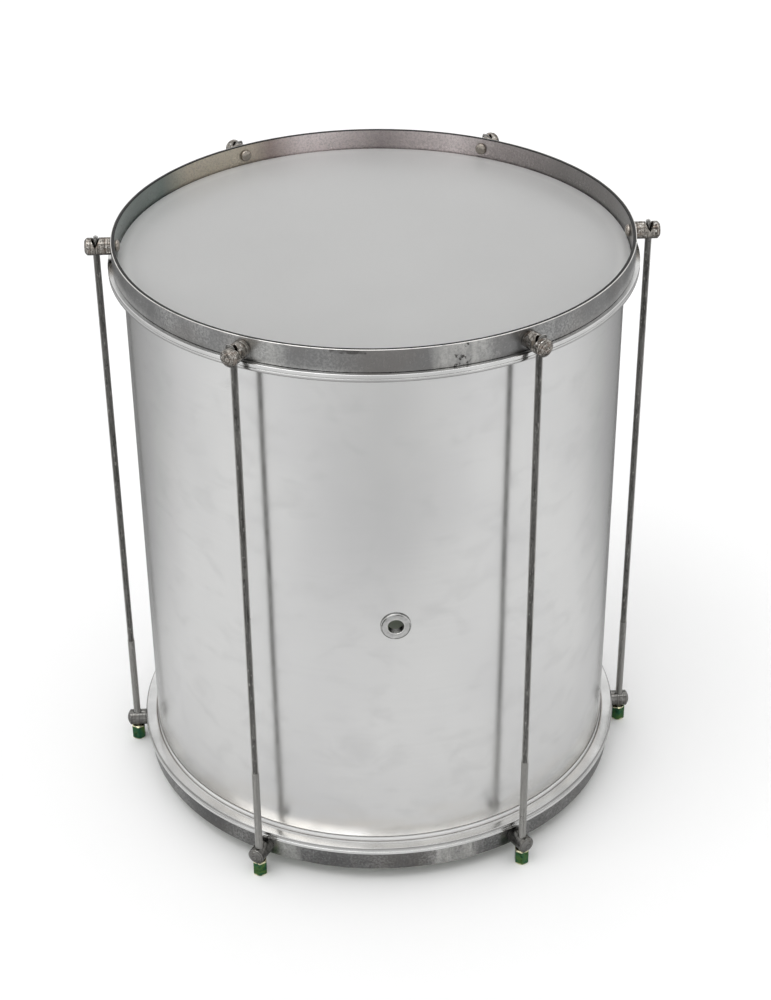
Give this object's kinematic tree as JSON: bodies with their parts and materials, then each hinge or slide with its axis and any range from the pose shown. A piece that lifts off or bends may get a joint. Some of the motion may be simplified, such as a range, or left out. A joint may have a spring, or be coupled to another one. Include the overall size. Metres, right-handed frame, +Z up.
{
  "type": "surdo drum",
  "caption": "Light Brazilian bass drum with a sheet aluminium shell, film heads, flat steel hoops, and hooked tension rods with tuning nuts",
  "frame": {"origin": "On the drum's axis, level with the bottom faces of the six tuning nuts that it stands on", "axes": "+Z up along the drum's axis to the batter head; -Y is the front, with the vent 1.3 degrees to the right of it; +X is to the viewer's right, through a pair of lugs"},
  "size_m": [0.4654, 0.429, 0.5074],
  "materials": {
    "shell_sheet": "rolled aluminium sheet, satin with a soft mirror to it",
    "vent_plate": "bright nickel plate",
    "washer_steel": "plain steel",
    "head_film": "smooth milky polyester film",
    "flesh_hoop_metal": "bright drawn aluminium",
    "top_hoop_steel": "flat steel bar, dull zinc with stains",
    "bottom_hoop_steel": "flat steel bar, dull zinc, darker",
    "top_lug_steel": "lathe-turned steel",
    "bottom_lug_steel": "turned steel, dull and darker",
    "rod_steel": "drawn steel rod, dark and dull",
    "nut_plate": "zinc with a green to yellow passivated film"
  },
  "bodies": {
    "shell_side": {"shell": "shell_sheet", "vent_grommet": "vent_plate", "vent_washer": "washer_steel", "resonant_head": "head_film", "resonant_flesh_hoop": "flesh_hoop_metal", "bottom_hoop": "bottom_hoop_steel", "bottom_lug_1": "bottom_lug_steel", "bottom_lug_2": "bottom_lug_steel", "bottom_lug_3": "bottom_lug_steel", "bottom_lug_4": "bottom_lug_steel", "bottom_lug_5": "bottom_lug_steel", "bottom_lug_6": "bottom_lug_steel"},
    "batter_side": {"batter_head": "head_film", "batter_flesh_hoop": "flesh_hoop_metal", "top_hoop": "top_hoop_steel", "top_lug_1": "top_lug_steel", "top_lug_2": "top_lug_steel", "top_lug_3": "top_lug_steel", "top_lug_4": "top_lug_steel", "top_lug_5": "top_lug_steel", "top_lug_6": "top_lug_steel", "tension_rod_1": "rod_steel", "tension_rod_2": "rod_steel", "tension_rod_3": "rod_steel", "tension_rod_4": "rod_steel", "tension_rod_5": "rod_steel", "tension_rod_6": "rod_steel"},
    "nut_1": {"tuning_nut_1": "nut_plate"},
    "nut_2": {"tuning_nut_2": "nut_plate"},
    "nut_3": {"tuning_nut_3": "nut_plate"},
    "nut_4": {"tuning_nut_4": "nut_plate"},
    "nut_5": {"tuning_nut_5": "nut_plate"},
    "nut_6": {"tuning_nut_6": "nut_plate"}
  },
  "joints": [
    {"name": "nut_1_turn", "type": "hinge", "parent": "shell_side", "child": "nut_1", "pos_m": [0.2236, 0, 0], "axis": [0, 0, -1], "range_deg": [0, 1700.8]},
    {"name": "nut_2_turn", "type": "hinge", "parent": "shell_side", "child": "nut_2", "pos_m": [0.1118, 0.19364, 0], "axis": [0, 0, -1], "range_deg": [0, 1700.8]},
    {"name": "nut_3_turn", "type": "hinge", "parent": "shell_side", "child": "nut_3", "pos_m": [-0.1118, 0.19364, 0], "axis": [0, 0, -1], "range_deg": [0, 1700.8]},
    {"name": "nut_4_turn", "type": "hinge", "parent": "shell_side", "child": "nut_4", "pos_m": [-0.2236, 0, 0], "axis": [0, 0, -1], "range_deg": [0, 1700.8]},
    {"name": "nut_5_turn", "type": "hinge", "parent": "shell_side", "child": "nut_5", "pos_m": [-0.1118, -0.19364, 0], "axis": [0, 0, -1], "range_deg": [0, 1700.8]},
    {"name": "nut_6_turn", "type": "hinge", "parent": "shell_side", "child": "nut_6", "pos_m": [0.1118, -0.19364, 0], "axis": [0, 0, -1], "range_deg": [0, 1700.8]},
    {"name": "batter_lift", "type": "slide", "parent": "shell_side", "child": "batter_side", "axis": [0, 0, 1], "range_m": [0, 0.006]}
  ],
  "couplings": [
    {"joint": "nut_1_turn", "follows": "batter_lift", "rad_per_m": 4947.4},
    {"joint": "nut_2_turn", "follows": "batter_lift", "rad_per_m": 4947.4},
    {"joint": "nut_3_turn", "follows": "batter_lift", "rad_per_m": 4947.4},
    {"joint": "nut_4_turn", "follows": "batter_lift", "rad_per_m": 4947.4},
    {"joint": "nut_5_turn", "follows": "batter_lift", "rad_per_m": 4947.4},
    {"joint": "nut_6_turn", "follows": "batter_lift", "rad_per_m": 4947.4}
  ]
}
